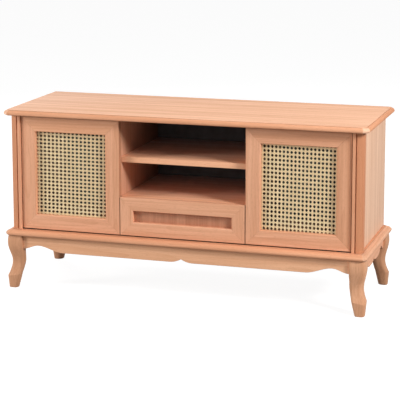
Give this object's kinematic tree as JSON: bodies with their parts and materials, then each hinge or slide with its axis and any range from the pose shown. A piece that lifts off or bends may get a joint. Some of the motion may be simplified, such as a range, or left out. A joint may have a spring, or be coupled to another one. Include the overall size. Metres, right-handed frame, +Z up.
{
  "type": "media console",
  "caption": "Low beech media console on cabriole legs, with moulded top and base, cane-panelled doors, an open shelved bay and a drawer below it.",
  "frame": {"origin": "on the floor, under the middle of the top board", "axes": "+X along the width, to the right of someone facing the doors; +Y from the doors to the back; +Z up"},
  "size_m": [1.2, 0.428, 0.59],
  "materials": {
    "beech": "raw sanded beech, unfinished",
    "panel_wood": "raw beech panel, grain upright",
    "cane": "open woven cane webbing, natural",
    "board": "dark thin board",
    "steel": "zinc plated",
    "plastic": "moulded, matt"
  },
  "bodies": {
    "case": {"top_board": "beech", "base_board": "beech", "left_side_panel": "beech", "right_side_panel": "beech", "front_left_post": "beech", "front_right_post": "beech", "left_partition": "beech", "right_partition": "beech", "open_shelf": "beech", "drawer_divider": "beech", "back_panel": "board", "front_apron": "beech", "left_apron": "beech", "right_apron": "beech", "rear_apron": "beech", "front_left_leg": "beech", "front_right_leg": "beech", "rear_left_leg": "beech", "rear_right_leg": "beech", "left_upper_pivot_plate": "steel", "left_lower_pivot_plate": "steel", "right_upper_pivot_plate": "steel", "right_lower_pivot_plate": "steel", "left_latch_housing": "plastic", "right_latch_housing": "plastic", "left_runner_case_member": "steel", "right_runner_case_member": "steel"},
    "left_door": {"left_door_outer_stile": "beech", "left_door_inner_stile": "beech", "left_door_top_rail": "beech", "left_door_bottom_rail": "beech", "left_door_cane": "cane", "left_door_outer_bead": "beech", "left_door_inner_bead": "beech", "left_door_top_bead": "beech", "left_door_bottom_bead": "beech"},
    "right_door": {"right_door_outer_stile": "beech", "right_door_inner_stile": "beech", "right_door_top_rail": "beech", "right_door_bottom_rail": "beech", "right_door_cane": "cane", "right_door_outer_bead": "beech", "right_door_inner_bead": "beech", "right_door_top_bead": "beech", "right_door_bottom_bead": "beech"},
    "drawer": {"drawer_front_left_stile": "beech", "drawer_front_right_stile": "beech", "drawer_front_top_rail": "beech", "drawer_front_bottom_rail": "beech", "drawer_front_panel": "panel_wood", "drawer_left_side": "beech", "drawer_right_side": "beech", "drawer_back": "beech", "drawer_bottom": "board", "left_runner_drawer_member": "steel", "right_runner_drawer_member": "steel"},
    "left_runner": {"left_runner_middle_member": "steel"},
    "right_runner": {"right_runner_middle_member": "steel"},
    "left_latch": {"left_latch_plunger": "plastic"},
    "right_latch": {"right_latch_plunger": "plastic"}
  },
  "joints": [
    {"name": "left_door_swing", "type": "hinge", "parent": "case", "child": "left_door", "pos_m": [-0.5315, -0.179, 0.199], "axis": [0, 0, -1], "range_deg": [0, 105]},
    {"name": "right_door_swing", "type": "hinge", "parent": "case", "child": "right_door", "pos_m": [0.5315, -0.179, 0.199], "axis": [0, 0, 1], "range_deg": [0, 105]},
    {"name": "drawer_slide", "type": "slide", "parent": "case", "child": "drawer", "axis": [0, -1, 0], "range_m": [0, 0.25]},
    {"name": "left_runner_slide", "type": "slide", "parent": "case", "child": "left_runner", "axis": [0, -1, 0], "range_m": [0, 0.125]},
    {"name": "right_runner_slide", "type": "slide", "parent": "case", "child": "right_runner", "axis": [0, -1, 0], "range_m": [0, 0.125]},
    {"name": "left_latch_press", "type": "slide", "parent": "case", "child": "left_latch", "axis": [0, 1, 0], "range_m": [0, 0.003], "stiffness_N_per_m": 200},
    {"name": "right_latch_press", "type": "slide", "parent": "case", "child": "right_latch", "axis": [0, 1, 0], "range_m": [0, 0.003], "stiffness_N_per_m": 200}
  ],
  "couplings": [
    {"joint": "left_runner_slide", "follows": "drawer_slide", "ratio": 0.5},
    {"joint": "right_runner_slide", "follows": "drawer_slide", "ratio": 0.5}
  ]
}
